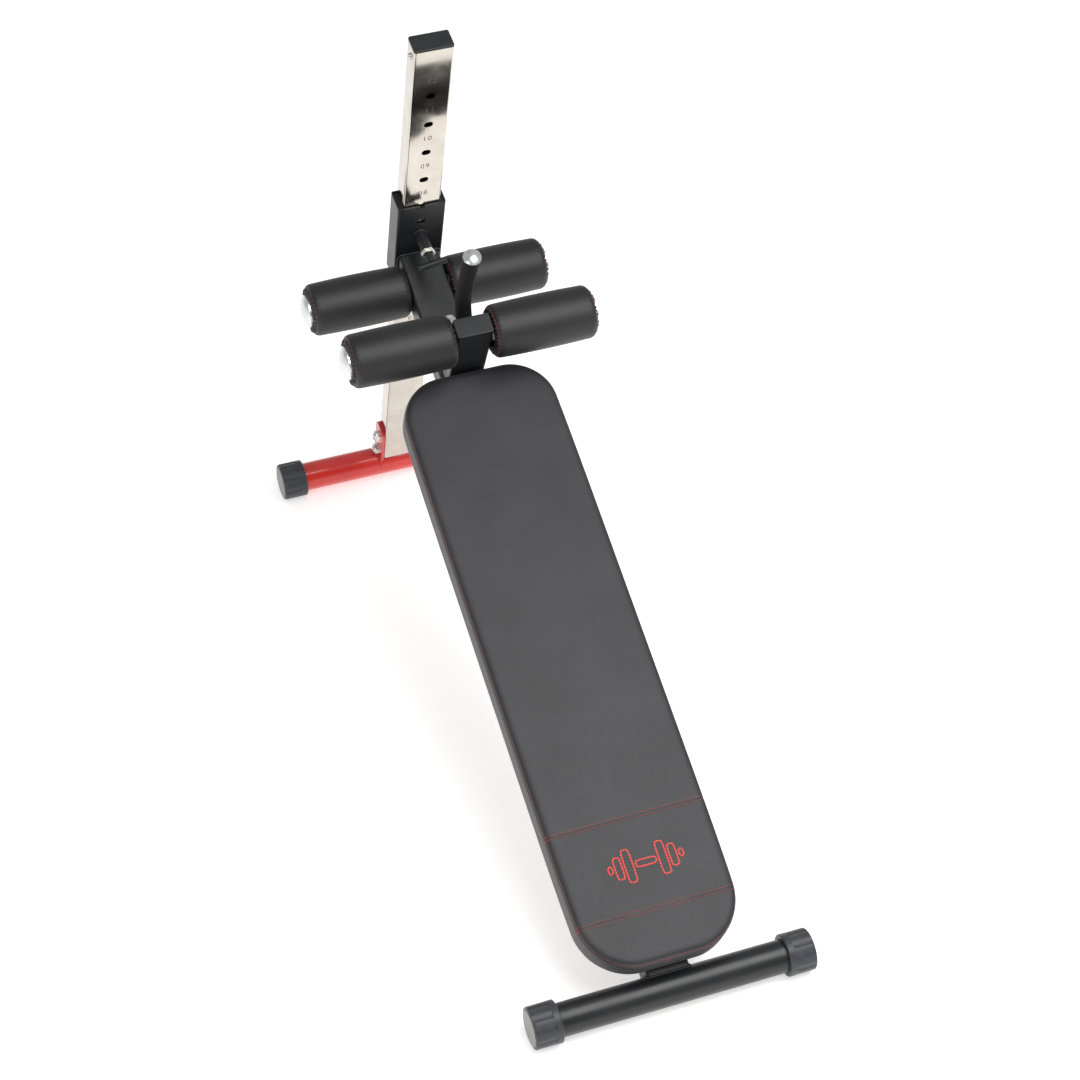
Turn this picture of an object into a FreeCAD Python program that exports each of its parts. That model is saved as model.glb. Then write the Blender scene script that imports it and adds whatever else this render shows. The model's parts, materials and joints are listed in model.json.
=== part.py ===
import FreeCAD, Part
import math
import os

# Adjustable sit-up bench. Sizes in mm.
# World frame: +Z up, X along the foot bars (right positive), Y from the low foot to the post.
# The origin is on the floor, in the middle between the four foot caps.

V = FreeCAD.Vector

# ---- overall sizes ----
pad_length = 1170.0
pad_width = 300.0
pad_start = 33.0            # from the front foot bar's axis to the pad's low end, along the board
pad_corner = 95.0
cushion_height = 45.0       # foam above the board
board_height = 15.0
foot_half = 250.0           # half the length of each foot tube
incline_gap = 9.0           # degrees between the post and the board's own normal

# ---- tubes ----
foot_r = 30.0
foot_wall = 3.0
foot_cap_r = 38.2
foot_rest = 37.5            # from a foot bar's axis down to the flats that its caps stand on
foot_cap_long = 50.0
foot_cap_over = 10.0        # cap beyond the tube's end
spine_wide = 80.0
spine_high = 50.0
spine_top = 20.0            # the spine's top face above the foot bar's axis
spine_wall = 3.0
stem_wide = 70.0
stem_deep = 40.0
stem_top = 209.0
post_wide = 75.0
post_deep = 40.0
post_wall = 2.5
post_corner = 4.0
sleeve_wall = 3.0
sleeve_side_room = 7.0      # between post and sleeve at the sides, filled by the guide bushes
sleeve_front_room = 2.0

# ---- adjustment holes and pull pin ----
hole_count = 12
hole_rest = 7               # the hole that the pin sits in at rest
hole_pitch = 75.0
pin_r = 6.0
hole_r = pin_r + 0.5
hole_run = 4.5              # how much wider than high each hole is, across the post
pin_above = 70.0            # pin axis above the spine's axis crossing, along the post
sleeve_rise = 80.0          # sleeve above the pin
sleeve_drop = 126.0         # sleeve below the pin
housing_r = 11.0
housing_long = 46.0
pin_travel = 12.0
pin_bite = 10.0             # how far the pin reaches behind the post's front face

# ---- rollers ----
roller_r = 51.7
roller_round = 12.0
front_roller_inner = 37.0   # each roller's inner end from the middle plane
rear_roller_inner = 41.5
roller_outer = 236.0
axle_r = 12.5
core_r = 15.0
front_roller_up = 168.0     # above the foot bar's axis, square to the board
rear_roller_up = -10.0
roller_spacing = 216.6      # from front to rear roller, along the board

# ---- M12 bolts of the bracket and the spine ----
bolt_r = 6.0
bolt_room = 0.4

# ---- clearances ----
fit = 0.05                  # radial, where one piece turns or slides in another
press = 0.02                # radial, where one piece is pressed into another
gap = 0.4

# ---- derived places along the board (s) and square to it (n) ----
plate_t = 6.0
pad_bottom = spine_top + plate_t
pad_end = pad_start + pad_length
stem_front = pad_end + 4.0
stem_mid = stem_front + stem_deep / 2
stem_back = stem_front + stem_deep
rear_roller_s = stem_mid + roller_spacing
sleeve_half_w = post_wide / 2 + sleeve_side_room + sleeve_wall
sleeve_half_d = post_deep / 2 + sleeve_front_room + sleeve_wall
lean = math.radians(incline_gap)
sleeve_front_s = rear_roller_s + roller_r + 4.3
post_cross = sleeve_front_s + sleeve_half_d / math.cos(lean) - rear_roller_up * math.tan(lean)

# ---- derived heights along the post, from the rear foot bar's axis ----
bracket_top = 116.0
bolt_heights = [46.0, 92.0]
hole_first = bracket_top + sleeve_drop + 74.0
hole_heights = [hole_first + i * hole_pitch for i in range(hole_count)]
pin_h = hole_heights[hole_rest - 1]
post_bottom = foot_r + 3.0
post_plug_t = 5.0
stop_screw_h = hole_heights[-1] + sleeve_rise + 11.0
post_top = stop_screw_h + 24.0
cross_h = pin_h - pin_above

# ---- incline: both feet stand on the floor ----
drop_s = post_cross - cross_h * math.sin(lean)
drop_n = cross_h * math.cos(lean)
incline = math.degrees(math.atan2(drop_n, drop_s))
foot_span = math.hypot(drop_s, drop_n)
front_y = -foot_span / 2
rear_y = foot_span / 2
post_tilt = incline - incline_gap

os.makedirs("parts", exist_ok=True)


def on_board(shape):
    """From board coordinates (x, along, square to the board) to the world."""
    out = shape.copy()
    out.rotate(V(0, 0, 0), V(1, 0, 0), incline)
    out.translate(V(0, front_y, foot_rest))
    return out


def on_post(shape):
    """From post coordinates (x, to the rear, up the post) to the world."""
    out = shape.copy()
    out.rotate(V(0, 0, 0), V(1, 0, 0), post_tilt)
    out.translate(V(0, rear_y, foot_rest))
    return out


def save(name, *solids):
    shape = solids[0] if len(solids) == 1 else Part.makeCompound(list(solids))
    shape.exportStep("parts/" + name + ".step")


def one_solid(shape):
    """The shape as a single clean solid."""
    return shape.removeSplitter().Solids[0]


def box(x0, x1, y0, y1, z0, z1):
    return Part.makeBox(x1 - x0, y1 - y0, z1 - z0, V(x0, y0, z0))


def rod(r, start, end):
    """A cylinder from point to point."""
    axis = end - start
    return Part.makeCylinder(r, axis.Length, start, axis)


def ring(r_in, r_out, start, end):
    return rod(r_out, start, end).cut(rod(r_in, start, end))


def rounded_bar(wide, deep, long, r):
    """A bar along Z with its four long edges rounded."""
    bar = box(-wide / 2, wide / 2, -deep / 2, deep / 2, 0, long)
    edges = [e for e in bar.Edges if abs(e.tangentAt(e.FirstParameter).z) > 0.99]
    return bar.makeFillet(r, edges)


def box_tube(wide, deep, long, wall, r):
    """A rectangular tube along Z."""
    hollow = rounded_bar(wide - 2 * wall, deep - 2 * wall, long, max(r - wall, 0.8))
    return rounded_bar(wide, deep, long, r).cut(hollow)


def hexagon(across, thick, start, axis):
    """A hexagonal prism with its end corners turned off."""
    r = across / math.sqrt(3)
    points = [V(r * math.cos(k * math.pi / 3), r * math.sin(k * math.pi / 3), 0) for k in range(7)]
    prism = Part.Face(Part.makePolygon(points)).extrude(V(0, 0, thick))
    turned = Part.makeCone(r * 1.28, r * 0.97, thick, V(0, 0, 0))
    prism = prism.common(turned)
    turn = FreeCAD.Rotation(V(0, 0, 1), axis)
    prism.Placement = FreeCAD.Placement(start, turn)
    return prism


def mirrored(shape):
    return shape.mirror(V(0, 0, 0), V(1, 0, 0))


# ---------------- foot bars ----------------
def foot_tube():
    return ring(foot_r - foot_wall, foot_r, V(-foot_half, 0, 0), V(foot_half, 0, 0))


def foot_cap():
    """A moulded cap over the right end of a foot tube, lobed round the middle of its length."""
    x_in = foot_half + foot_cap_over - foot_cap_long
    x_out = foot_half + foot_cap_over
    body = rod(foot_cap_r, V(x_in, 0, 0), V(x_out, 0, 0))
    rims = [e for e in body.Edges if e.Curve.TypeId == "Part::GeomCircle"]
    body = body.makeFillet(3.6, [e for e in rims if e.CenterOfMass.x > x_out - 1])
    rims = [e for e in body.Edges if e.Curve.TypeId == "Part::GeomCircle"]
    body = body.makeChamfer(1.5, [e for e in rims if e.CenterOfMass.x < x_in + 1])
    groove_r = 22.0
    lobes = 10
    for k in range(lobes):
        turn = 2 * math.pi * (k + 0.5) / lobes
        off = foot_cap_r + groove_r - 1.6
        mid = V(0, off * math.sin(turn), -off * math.cos(turn))
        body = body.cut(rod(groove_r, V(x_in + 12, 0, 0) + mid, V(x_out + 1, 0, 0) + mid))
    body = body.cut(box(0, x_out + 1, -foot_cap_r, foot_cap_r, -2 * foot_cap_r, -foot_rest))
    body = body.cut(rod(foot_r + fit, V(x_in, 0, 0), V(foot_half + 1.0, 0, 0)))
    return body.cut(rod(disc_r + press, V(x_out - 3.0, 0, 0), V(x_out, 0, 0)))


def foot_disc():
    """The flat disc set into a foot cap's end."""
    x_out = foot_half + foot_cap_over
    disc = rod(disc_r, V(x_out - 3.0 + press, 0, 0), V(x_out + 1.2, 0, 0))
    rim = [e for e in disc.Edges if e.Curve.TypeId == "Part::GeomCircle" and e.CenterOfMass.x > x_out]
    return disc.makeFillet(0.8, rim)


disc_r = foot_r + 2.5
cap = foot_cap()
disc = foot_disc()


def world_pair(shape, y):
    out = []
    for s in (shape, mirrored(shape)):
        s = s.copy()
        s.translate(V(0, y, foot_rest))
        out.append(s)
    return out


front_tube = foot_tube()
front_tube.translate(V(0, front_y, foot_rest))
save("front_foot_tube", front_tube)
save("front_foot_caps", *world_pair(cap, front_y))
save("front_foot_cap_discs", *world_pair(disc, front_y))

# ---------------- spine ----------------
foot_solid = rod(foot_r, V(-foot_half, 0, 0), V(foot_half, 0, 0))
spine_long = post_cross + 40.0
spine = box_tube(spine_wide, spine_high, spine_long, spine_wall, 6.0)
spine.rotate(V(0, 0, 0), V(1, 0, 0), -90)
spine.translate(V(0, 14.0, spine_top - spine_high / 2))
spine = spine.cut(foot_solid)


def post_to_board(shape):
    """From post coordinates to board coordinates."""
    out = shape.copy()
    out.rotate(V(0, 0, 0), V(1, 0, 0), -incline_gap)
    out.translate(V(0, drop_s, -drop_n))
    return out


sleeve_low = pin_h - sleeve_drop
sleeve_high = pin_h + sleeve_rise
behind = box(-200, 200, -sleeve_half_d, 400, sleeve_low - 200, sleeve_high + 200)
spine = spine.cut(post_to_board(behind))
axle_hole = rod(axle_r + press, V(-60, rear_roller_s, rear_roller_up), V(60, rear_roller_s, rear_roller_up))
spine = spine.cut(axle_hole)
bolt_s = stem_back + 95.0
bolt_x = 13.0
spine = spine.cut(rod(bolt_r + bolt_room, V(bolt_x, bolt_s, 0), V(bolt_x, bolt_s, spine_top + 5)))
save("spine_beam", on_board(one_solid(spine)))

# hexagon bolt on the spine behind the handle
washer = ring(bolt_r + bolt_room, 13.0, V(bolt_x, bolt_s, spine_top), V(bolt_x, bolt_s, spine_top + 2.5))
head = hexagon(19.0, 7.5, V(bolt_x, bolt_s, spine_top + 2.5), V(0, 0, 1))
shank = rod(bolt_r, V(bolt_x, bolt_s, spine_top - 22), V(bolt_x, bolt_s, spine_top + 4))
save("spine_bolt_washer", on_board(washer))
save("spine_bolt", on_board(one_solid(head.fuse(shank))))
nut_top = spine_top - spine_wall
nut = hexagon(19.0, 9.0, V(bolt_x, bolt_s, nut_top), V(0, 0, -1))
nut = nut.cut(rod(bolt_r + press, V(bolt_x, bolt_s, nut_top - 10), V(bolt_x, bolt_s, nut_top + 1)))
save("spine_bolt_nut", on_board(nut))

# ---------------- stem and its end plate ----------------
end_plate_t = 3.0
stem = box_tube(stem_wide, stem_deep, stem_top - end_plate_t - spine_top, 3.0, 5.0)
stem.translate(V(0, stem_mid, spine_top))
stem = stem.cut(rod(axle_r + press, V(-60, stem_mid, front_roller_up), V(60, stem_mid, front_roller_up)))
save("roller_stem", on_board(one_solid(stem)))
plate = rounded_bar(stem_wide, stem_deep, end_plate_t, 5.0)
plate = plate.makeFillet(1.2, [e for e in plate.Edges if e.CenterOfMass.z > end_plate_t - 0.01])
plate.translate(V(0, stem_mid, stem_top - end_plate_t))
save("stem_end_plate", on_board(plate))


# ---------------- rollers ----------------
def axle(s, n):
    bar = ring(axle_r - 3.0, axle_r, V(-roller_outer, 0, 0), V(roller_outer, 0, 0))
    bar.translate(V(0, s, n))
    return bar


def roller_foam(roller_inner):
    """The padded roller on the right, about the X axis."""
    foam = rod(roller_r, V(roller_inner, 0, 0), V(roller_outer, 0, 0))
    foam = foam.makeFillet(roller_round, [e for e in foam.Edges if e.Curve.TypeId == "Part::GeomCircle"])
    return foam.cut(rod(core_r + press, V(roller_inner - 1, 0, 0), V(roller_outer + 1, 0, 0)))


def roller_core(roller_inner):
    return ring(axle_r + fit, core_r, V(roller_inner, 0, 0), V(roller_outer, 0, 0))


def roller_cap():
    """A domed metal cap that closes the right end of an axle and keeps the roller on."""
    x = roller_outer + 0.6
    cap_r = roller_r * 0.62
    rim, rise, sheet = 4.0, 11.0, 1.5
    dome_r = (cap_r ** 2 + rise ** 2) / (2 * rise)
    mid = V(x + rim + rise - dome_r, 0, 0)
    body = rod(cap_r, V(x, 0, 0), V(x + 30, 0, 0)).common(Part.makeSphere(dome_r, mid))
    hollow = rod(cap_r - sheet, V(x - 1, 0, 0), V(x + 30, 0, 0))
    body = body.cut(hollow.common(Part.makeSphere(dome_r - sheet, mid)))
    spigot = rod(axle_r - 3.0 - press, V(x - 22, 0, 0), V(x + rim + rise - sheet / 2, 0, 0))
    return one_solid(body.fuse(spigot))


def spacer(half, roller_inner):
    """A ring between the fixed tube's side and the roller."""
    return ring(axle_r + press, core_r + 3.5, V(half, 0, 0), V(roller_inner - gap, 0, 0))


places = {"front": (stem_mid, front_roller_up), "rear": (rear_roller_s, rear_roller_up)}
halves = {"front": stem_wide / 2, "rear": spine_wide / 2}
inner_ends = {"front": front_roller_inner, "rear": rear_roller_inner}
caps = []
for where, (s, n) in places.items():
    move = V(0, s, n)
    save(where + "_roller_axle", on_board(axle(s, n)))
    for side, turned in (("right", lambda q: q.copy()), ("left", mirrored)):
        foam = turned(roller_foam(inner_ends[where]))
        foam.translate(move)
        save(where + "_" + side + "_roller_foam", on_board(foam))
        core = turned(roller_core(inner_ends[where]))
        core.translate(move)
        save(where + "_" + side + "_roller_core", on_board(core))
        cover = turned(roller_cap())
        cover.translate(move)
        caps.append(on_board(cover))
    ring_right = spacer(halves[where], inner_ends[where])
    rings = [ring_right, mirrored(ring_right)]
    for r in rings:
        r.translate(move)
    save(where + "_roller_spacers", *[on_board(r) for r in rings])
save("roller_end_caps", *caps)

# ---------------- handle ----------------
handle_r = 12.5
handle_wall = 2.0
handle_bend = 90.0
handle_s = stem_back + 43.0
handle_straight = 225.0     # where the straight part starts, square to the board
handle_top = 346.0
grip_r = 15.3


def swan_neck(r, from_angle, to_top):
    """A round bar that leaves the stem's back, bends up and runs parallel to the stem."""
    mid = V(0, handle_s - handle_bend, handle_straight)

    def at(angle):
        q = math.radians(angle)
        return mid + V(0, handle_bend * math.cos(q), -handle_bend * math.sin(q))

    bend = Part.Arc(at(from_angle), at(from_angle / 2), at(0)).toShape()
    up = Part.LineSegment(at(0), V(0, handle_s, to_top)).toShape()
    path = Part.Wire([bend, up])
    q = math.radians(from_angle)
    ahead = V(0, math.sin(q), math.cos(q))
    section = Part.Wire(Part.makeCircle(r, at(from_angle), ahead))
    return path.makePipeShell([section], True, False)


stem_block = box(-60, 60, stem_front - 200, stem_back, 0, stem_top + 200)
tube = swan_neck(handle_r, 64.0, handle_top).cut(swan_neck(handle_r - handle_wall, 64.0, handle_top))
tube = tube.cut(stem_block)
save("handle_tube", on_board(one_solid(tube)))
grip = swan_neck(grip_r, 46.0, handle_top - 1.0).cut(swan_neck(handle_r + press, 46.0, handle_top - 1.0))
save("handle_grip", on_board(one_solid(grip)))
cap_r = grip_r + 1.7
crown = Part.makeSphere(24.0, V(0, handle_s, handle_top + 9.0 - 24.0))
crown = crown.common(rod(cap_r, V(0, handle_s, handle_top + 0.2), V(0, handle_s, handle_top + 30)))
peg = rod(handle_r - handle_wall - press, V(0, handle_s, handle_top - 22), V(0, handle_s, handle_top + 1))
save("handle_end_cap", on_board(one_solid(crown.fuse(peg))))


# ---------------- pad ----------------
def pad_block(inset, z0, z1, r):
    block = box(-pad_width / 2 + inset, pad_width / 2 - inset, pad_start + inset, pad_end - inset, z0, z1)
    edges = [e for e in block.Edges if abs(e.tangentAt(e.FirstParameter).z) > 0.99]
    return block.makeFillet(r - inset, edges)


board_inset = 6.0
board_top = pad_bottom + board_height
pad_top = board_top + cushion_height
cushion = pad_block(0, pad_bottom, pad_top, pad_corner)
cushion = cushion.makeFillet(13.0, [e for e in cushion.Edges if e.BoundBox.ZMin > pad_top - 0.01])
cushion = cushion.makeFillet(3.0, [e for e in cushion.Edges if e.BoundBox.ZMax < pad_bottom + 0.01])
pocket = pad_block(board_inset, pad_bottom - 1, board_top, pad_corner)
cushion = cushion.cut(pocket)
board = pad_block(board_inset + 0.2, pad_bottom, board_top - 0.2, pad_corner)

plate_half = pad_width * 0.36
plate_deep = 50.0
bolt_out = plate_half - 22.0
plate_places = [pad_start + pad_length * q for q in (0.12, 0.5, 0.88)]
plates = []
bolts = []
nuts = []
nut_r = 5.5
nut_long = board_height - 2.2
for s in plate_places:
    flat = box(-plate_half, plate_half, s - plate_deep / 2, s + plate_deep / 2, spine_top, pad_bottom)
    upright = [e for e in flat.Edges if abs(e.tangentAt(e.FirstParameter).z) > 0.99]
    flat = flat.makeFillet(8.0, upright)
    for x in (-bolt_out, bolt_out):
        flat = flat.cut(rod(4.5, V(x, s, spine_top - 1), V(x, s, pad_bottom + 1)))
        foot = V(x, s, spine_top)
        screw = hexagon(13.0, 5.3, foot, V(0, 0, -1))
        screw = screw.fuse(rod(4.0, foot - V(0, 0, 1), V(x, s, board_top - 3.0)))
        bolts.append(one_solid(screw))
        top = board_top - 0.2
        sleeve_nut = ring(4.0 + press, nut_r, V(x, s, top - nut_long), V(x, s, top))
        sleeve_nut = sleeve_nut.fuse(ring(4.0 + press, 11.0, V(x, s, top - 1.6), V(x, s, top)))
        nuts.append(one_solid(sleeve_nut))
        board = board.cut(rod(nut_r + press, V(x, s, pad_bottom - 1), V(x, s, board_top + 1)))
        board = board.cut(rod(11.0 + press, V(x, s, top - 1.6 - press), V(x, s, board_top + 1)))
    plates.append(flat)
save("pad_cushion", on_board(one_solid(cushion)))
save("pad_board", on_board(one_solid(board)))
save("pad_mount_plates", *[on_board(q) for q in plates])
save("pad_bolts", *[on_board(q) for q in bolts])
save("pad_tee_nuts", *[on_board(q) for q in nuts])

# ---------------- sleeve on the post ----------------
sleeve = box_tube(2 * sleeve_half_w, 2 * sleeve_half_d, sleeve_rise + sleeve_drop, sleeve_wall, 5.0)
sleeve.translate(V(0, 0, sleeve_low))
front = -sleeve_half_d
guide_r = pin_r + 0.08
window_h = pin_h + hole_pitch / 2
sleeve = sleeve.cut(rod(9.0, V(0, front - 5, window_h), V(0, front + 8, window_h)))
sleeve = sleeve.cut(rod(guide_r, V(0, front - 5, pin_h), V(0, front + 8, pin_h)))
sleeve = sleeve.cut(rod(5.0, V(0, front - 5, sleeve_high), V(0, front + 8, sleeve_high)))
save("post_sleeve", on_post(one_solid(sleeve)))

bush_long = 30.0
bush_wide = 2 * (sleeve_half_w - sleeve_wall - press)
bush_deep = 2 * (sleeve_half_d - sleeve_wall - press)
bushes = []
for z in (sleeve_low + 3.0, sleeve_high - 3.0 - bush_long):
    bush = rounded_bar(bush_wide, bush_deep, bush_long, 2.0)
    bush = bush.cut(rounded_bar(post_wide + 2 * fit, post_deep + 2 * fit, bush_long, post_corner))
    bush.translate(V(0, 0, z))
    bushes.append(on_post(one_solid(bush)))
save("sleeve_guide_bushes", *bushes)

# ---------------- pull pin ----------------
chamber_r = housing_r - 2.5
root_t = 3.0
front_end = front - housing_long
housing = rod(housing_r, V(0, front_end, pin_h), V(0, front, pin_h))
housing = housing.cut(rod(guide_r, V(0, front + 1, pin_h), V(0, front - root_t - 1, pin_h)))
housing = housing.cut(rod(chamber_r, V(0, front_end - 1, pin_h), V(0, front - root_t, pin_h)))
save("pin_housing", on_post(one_solid(housing)))
nut_t = 8.0
lock = hexagon(24.0, nut_t, V(0, front_end, pin_h), V(0, -1, 0))
lock = lock.cut(rod(guide_r, V(0, front_end + 1, pin_h), V(0, front_end - nut_t - 1, pin_h)))
save("pin_lock_nut", on_post(lock))

collar_t = 4.0
collar_back = front - root_t - gap
tip = -post_deep / 2 + pin_bite
neck_start = front_end - nut_t - 1.5
neck_end = neck_start - 17.0
plunger = rod(pin_r, V(0, neck_end + 3.0, pin_h), V(0, tip, pin_h))
plunger = plunger.makeChamfer(1.2, [e for e in plunger.Edges if e.BoundBox.YMin > tip - 0.01])
collar = rod(chamber_r - gap, V(0, collar_back, pin_h), V(0, collar_back - collar_t, pin_h))
save("pull_pin_plunger", on_post(one_solid(plunger.fuse(collar))))
bar_r = 6.5
bar_half = 29.0
skew = math.radians(12.0)
along = V(math.cos(skew), 0, math.sin(skew)) * bar_half
bar_mid = V(0, neck_end - bar_r + 1.5, pin_h)
bar = rod(bar_r, bar_mid - along, bar_mid + along)
bar = bar.makeFillet(3.0, [e for e in bar.Edges if e.Curve.TypeId == "Part::GeomCircle"])
neck = rod(8.5, V(0, neck_start, pin_h), V(0, neck_end - 3, pin_h))
knob = bar.fuse(neck).cut(rod(pin_r + press, V(0, neck_start + 1, pin_h), V(0, neck_end + 3.0 - press, pin_h)))
save("pull_pin_handle", on_post(one_solid(knob)))

wire_r = 0.8
wire_sides = 8              # flat-sided wire, so that its swept faces stay simple
spring_turns = 6
coil_r = (pin_r + chamber_r) / 2
coil_from = collar_back - collar_t - wire_r - 0.1
coil_to = front_end + wire_r + 0.1
coil_long = coil_from - coil_to
helix = Part.makeHelix(coil_long / spring_turns, coil_long, coil_r)
rise = V(0, 2 * math.pi * coil_r * spring_turns, coil_long).normalize()
across = V(1, 0, 0).cross(rise)
wire_turns = [2 * math.pi * (k + 0.5) / wire_sides for k in range(wire_sides)]
corners = [V(coil_r + wire_r * math.cos(q), 0, 0) + across * (wire_r * math.sin(q)) for q in wire_turns]
section = Part.Wire(Part.makePolygon(corners + corners[:1]))
coil = Part.Wire(helix).makePipeShell([section], True, True)
coil.rotate(V(0, 0, 0), V(1, 0, 0), 90)
coil.translate(V(0, coil_from, pin_h))
save("pin_spring", on_post(one_solid(coil)))

# ---------------- post ----------------
post = box_tube(post_wide, post_deep, post_top - post_bottom, post_wall, post_corner)
post.translate(V(0, 0, post_bottom))
face = -post_deep / 2
for h in hole_heights:
    slot = box(-hole_run / 2, hole_run / 2, face - 2, face + post_wall + 2, h - hole_r, h + hole_r)
    for x in (-hole_run / 2, hole_run / 2):
        slot = slot.fuse(rod(hole_r, V(x, face - 2, h), V(x, face + post_wall + 2, h)))
    post = post.cut(slot.removeSplitter())
for h in bolt_heights:
    post = post.cut(rod(bolt_r + bolt_room, V(-post_wide, 0, h), V(post_wide, 0, h)))
screw_r = 3.0
post = post.cut(rod(screw_r + 0.3, V(-post_wide, 0, stop_screw_h), V(0, 0, stop_screw_h)))
save("post_tube", on_post(one_solid(post)))

screw = rod(screw_r, V(-post_wide / 2 + 10, 0, stop_screw_h), V(-post_wide / 2 - 2, 0, stop_screw_h))
screw_head = rod(5.5, V(-post_wide / 2 - 0.05, 0, stop_screw_h), V(-post_wide / 2 - 4.0, 0, stop_screw_h))
screw_head = screw_head.makeFillet(1.8, [e for e in screw_head.Edges if e.BoundBox.XMax < -post_wide / 2 - 3.9])
socket = hexagon(4.0, 2.2, V(-post_wide / 2 - 4.2, 0, stop_screw_h), V(1, 0, 0))
save("post_stop_screw", on_post(one_solid(screw.fuse(screw_head).cut(socket))))

plug = rounded_bar(post_wide, post_deep, post_plug_t, post_corner)
plug = plug.makeFillet(1.5, [e for e in plug.Edges if e.BoundBox.ZMin > post_plug_t - 0.01])
inside = rounded_bar(post_wide - 2 * post_wall - 0.1, post_deep - 2 * post_wall - 0.1, 12.0, 1.5)
inside.translate(V(0, 0, -12.0))
plug = one_solid(plug.fuse(inside))
plug.translate(V(0, 0, post_top))
save("post_top_plug", on_post(plug))

# ---------------- rear foot and bracket ----------------
rear_tube = foot_tube()
rear_tube.translate(V(0, rear_y, foot_rest))
save("rear_foot_tube", rear_tube)
save("rear_foot_caps", *world_pair(cap, rear_y))
save("rear_foot_cap_discs", *world_pair(disc, rear_y))

cheek_t = 6.0
cheek_in = post_wide / 2 + gap
cheek_out = cheek_in + cheek_t
web_in = post_deep / 2 + gap
channel = box(-cheek_out, cheek_out, -post_deep / 2, web_in + cheek_t, 0, bracket_top)
edges = [e for e in channel.Edges if abs(e.tangentAt(e.FirstParameter).x) > 0.99 and e.CenterOfMass.z > 1]
channel = channel.makeFillet(14.0, edges)
channel = channel.cut(box(-cheek_in, cheek_in, -post_deep, web_in, -1, bracket_top + 1))
channel = channel.cut(rod(foot_r, V(-100, 0, 0), V(100, 0, 0)))
bolts = []
nuts = []
washers = []
head_r = 9.2                # the dome on each bolt's head
head_rise = 5.5
head_dome_r = (head_r ** 2 + head_rise ** 2) / (2 * head_rise)
for h in bolt_heights:
    channel = channel.cut(rod(bolt_r + bolt_room, V(-100, 0, h), V(100, 0, h)))
    seat = cheek_out + 2.5
    long_bolt = rod(bolt_r, V(-seat - 1, 0, h), V(seat + 13, 0, h))
    long_bolt = long_bolt.fuse(hexagon(19.0, 7.5, V(-seat, 0, h), V(-1, 0, 0)))
    dome = Part.makeSphere(head_dome_r, V(-seat - 7.5 - head_rise + head_dome_r, 0, h))
    dome = dome.common(rod(head_r, V(-seat - 7.0, 0, h), V(-seat - 9.0 - head_rise, 0, h)))
    bolts.append(on_post(one_solid(long_bolt.fuse(dome))))
    nut = hexagon(19.0, 10.0, V(seat, 0, h), V(1, 0, 0))
    nut = nut.cut(rod(bolt_r + press, V(seat - 1, 0, h), V(seat + 12, 0, h)))
    nuts.append(on_post(nut))
    for side in (-1, 1):
        a = V(side * cheek_out, 0, h)
        b = V(side * seat, 0, h)
        washers.append(on_post(ring(bolt_r + bolt_room, 12.0, a, b)))
save("post_bracket", on_post(one_solid(channel)))
save("bracket_bolts", *bolts)
save("bracket_nuts", *nuts)
save("bracket_washers", *washers)
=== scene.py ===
# %% [markdown]
# # Adjustable sit-up bench
# A long padded board rests on a low foot bar at one end and climbs a chromed post at the other.
# A spring pin locks the board's sleeve in one of the post's holes, and four padded rollers hold the
# shins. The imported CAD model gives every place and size. Blender adds what CAD can't: the sewn vinyl,
# the stitches, the welds, the etched numbers and the finish of each surface.

# %% Load the frame
import json
import math

import bmesh
import bpy
import numpy as np
from mathutils import Matrix, Vector
from mathutils.bvhtree import BVHTree


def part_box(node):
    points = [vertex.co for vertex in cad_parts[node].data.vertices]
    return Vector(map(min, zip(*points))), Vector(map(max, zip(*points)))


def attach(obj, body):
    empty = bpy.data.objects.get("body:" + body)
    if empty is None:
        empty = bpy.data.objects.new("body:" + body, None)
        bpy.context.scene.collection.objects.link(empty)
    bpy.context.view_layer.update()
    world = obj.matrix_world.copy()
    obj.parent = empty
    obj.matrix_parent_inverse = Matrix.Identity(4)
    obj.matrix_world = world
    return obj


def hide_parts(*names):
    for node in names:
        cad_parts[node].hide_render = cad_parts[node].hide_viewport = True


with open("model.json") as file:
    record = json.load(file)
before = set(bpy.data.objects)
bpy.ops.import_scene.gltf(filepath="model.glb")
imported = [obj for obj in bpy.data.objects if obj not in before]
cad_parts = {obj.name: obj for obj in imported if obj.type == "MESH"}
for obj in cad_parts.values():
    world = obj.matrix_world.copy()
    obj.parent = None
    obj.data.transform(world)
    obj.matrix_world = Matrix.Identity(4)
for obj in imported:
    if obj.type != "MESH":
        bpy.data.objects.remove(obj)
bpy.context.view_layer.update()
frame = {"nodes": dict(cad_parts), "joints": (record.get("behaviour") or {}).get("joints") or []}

# %% [markdown]
# ## Two sets of axes
# The board and the post each lean, so work in their own axes: across (x), along, and square to the
# face. The board's long axis is the main direction of the plywood's points, which a singular value
# decomposition finds. The post's axis is the axis of its sliding joint.

# %% Axes of the board and of the post
MM = 0.001


def rows_of(mesh, what="co"):
    """One vector (x, y, z) per vertex of a mesh, as rows: its place in metres or its normal."""
    flat = np.empty(len(mesh.vertices) * 3)
    mesh.vertices.foreach_get(what, flat)
    return flat.reshape(-1, 3)


def points(node):
    """A node's vertices, as rows."""
    return rows_of(frame["nodes"][node].data)


def middle(node):
    """The centre of a node's box."""
    low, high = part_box(node)
    return (np.array(low) + np.array(high)) / 2


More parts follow.
